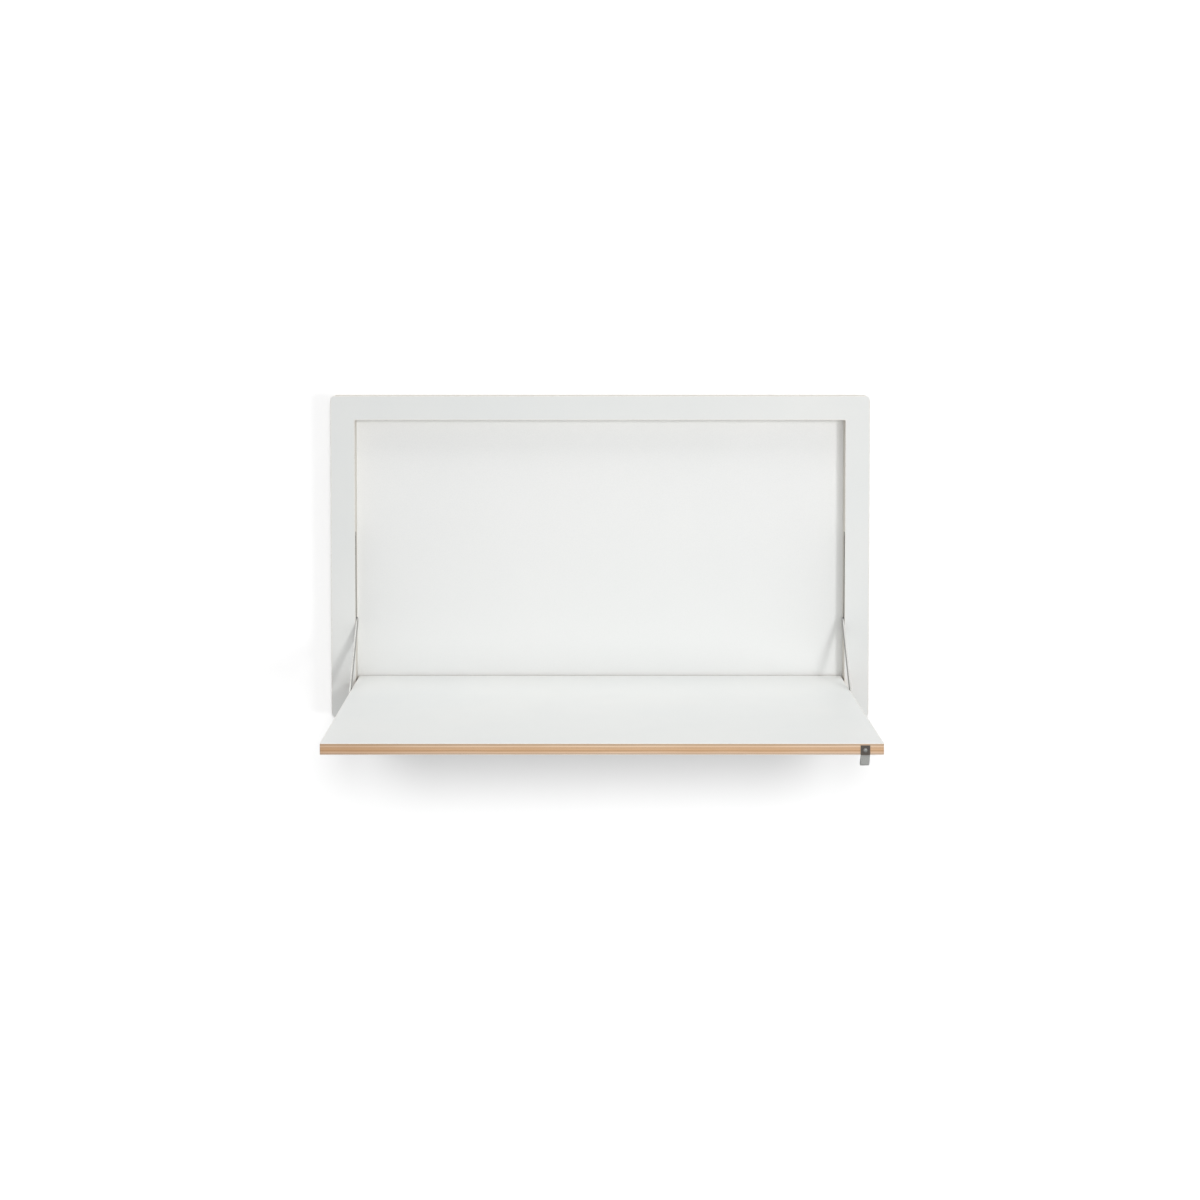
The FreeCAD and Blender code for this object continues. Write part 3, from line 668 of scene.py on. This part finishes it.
MIDDLE = (0, -0.05, -0.2)
lamp("key_light", (1.90, -3.40, 0.75), MIDDLE, 0.6, 0.6, 0.20)
lamp("low_side", (3.00, -7.30, -0.68), MIDDLE, 2.2, 1.1, 0.11)
lamp("front_fill", (0.70, -7.30, 0.70), MIDDLE, 2.5, 1.6, 0.17)
lamp("overhead", (0, -0.80, 4.6), (0, -0.20, -0.35), 6.0, 3.2, 0.60)
lamp("rear_fill", (0, 3.0, -0.62), MIDDLE, 6.0, 1.2, 0.60, back_only)
lamp("backdrop_side", (4.2, -3.4, -0.35), MIDDLE, 1.5, 1.5, 0.48, backdrop_only)


def even_sun(name, direction, angle, level):
    """Far light on the wall and floor alone, equal over their whole length."""
    light = bpy.data.lights.new(name, "SUN")
    light.energy = level * math.pi
    light.angle = math.radians(angle)
    sun = bpy.data.objects.new(name, light)
    sun.rotation_euler = Vector(direction).to_track_quat("-Z", "Y").to_euler()
    scene.collection.objects.link(sun)
    sun.light_linking.receiver_collection = backdrop_only


even_sun("wall_sun_left", (1.0, 6.45, -2.35), 14, 0.48)
even_sun("wall_sun_right", (-1.1, 6.45, -2.35), 14, 0.48)
even_sun("floor_sun", (0, 0, -1), 35, 1.1)


def studio_world(level):
    """White for the camera and for reflections, an even fill for everything else."""
    world = bpy.data.worlds.new("studio")
    world.use_nodes = True
    tree = world.node_tree
    tree.nodes.clear()
    output = tree.nodes.new("ShaderNodeOutputWorld")
    path = tree.nodes.new("ShaderNodeLightPath")
    seen = path.outputs["Is Camera Ray"]
    for other in ("Is Glossy Ray", "Is Transmission Ray"):
        either = tree.nodes.new("ShaderNodeMath")
        either.operation = "MAXIMUM"
        tree.links.new(seen, either.inputs[0])
        tree.links.new(path.outputs[other], either.inputs[1])
        seen = either.outputs[0]
    fill, white = (tree.nodes.new("ShaderNodeBackground") for _ in range(2))
    fill.inputs["Color"].default_value = (1, 1, 1, 1)
    fill.inputs["Strength"].default_value = level
    white.inputs["Color"].default_value = (1, 1, 1, 1)
    white.inputs["Strength"].default_value = 1.0
    mix = tree.nodes.new("ShaderNodeMixShader")
    tree.links.new(seen, mix.inputs[0])
    tree.links.new(fill.outputs[0], mix.inputs[1])
    tree.links.new(white.outputs[0], mix.inputs[2])
    tree.links.new(mix.outputs[0], output.inputs[0])
    scene.world = world


studio_world(0.40)


def sweep():
    """Wall and floor in one curved sheet that fades out sideways. Only the camera sees it, from the room."""
    wall_y, floor_z, radius = 0.001, -1.30, 0.25
    top_z, front_y, half_width = 4.0, -7.0, 7.0
    fade_from, fade_to = 2.2, 4.2
    glow_level = 0.255
    steps = 16
    line = [(wall_y, top_z)]
    for i in range(steps + 1):
        a = math.pi / 2 * i / steps
        line.append((wall_y - radius + radius * math.cos(a), floor_z + radius - radius * math.sin(a)))
    line.append((front_y, floor_z))
    verts = [(x, y, z) for y, z in line for x in (-half_width, half_width)]
    faces = [(2 * i, 2 * i + 2, 2 * i + 3, 2 * i + 1) for i in range(len(line) - 1)]
    mesh = bpy.data.meshes.new("studio_sweep")
    mesh.from_pydata(verts, [], faces)
    mesh.shade_smooth()
    t = Tree("sweep_white")
    rays = t.make("ShaderNodeLightPath").outputs["Is Camera Ray"]
    behind = t.make("ShaderNodeNewGeometry").outputs["Backfacing"]
    in_front = t.math("MAXIMUM", t.math("SUBTRACT", rays, behind), 0.0)
    fade = t.spread(t.math("ABSOLUTE", t.axis(X)), fade_from, fade_to, 1.0, 0.0)
    clear = t.make("ShaderNodeBsdfTransparent")
    paint = t.make("ShaderNodeBsdfDiffuse")
    paint.inputs["Color"].default_value = (0.5, 0.5, 0.5, 1)
    glow = t.make("ShaderNodeEmission")
    glow.inputs["Strength"].default_value = glow_level
    both = t.make("ShaderNodeAddShader")
    t.links.new(paint.outputs[0], both.inputs[0])
    t.links.new(glow.outputs[0], both.inputs[1])
    mix = t.make("ShaderNodeMixShader")
    t.put(mix.inputs[0], t.math("MULTIPLY", in_front, fade))
    t.links.new(clear.outputs[0], mix.inputs[1])
    t.links.new(both.outputs[0], mix.inputs[2])
    t.replace_shader(mix)
    mesh.materials.append(t.material)
    backdrop = bpy.data.objects.new("studio_sweep", mesh)
    scene.collection.objects.link(backdrop)
    backdrop_only.objects.link(backdrop)
    # A collection that only excludes leaves every other object lit.
    all_but_backdrop.objects.link(backdrop)
    all_but_backdrop.collection_objects[0].light_linking.link_state = "EXCLUDE"


sweep()
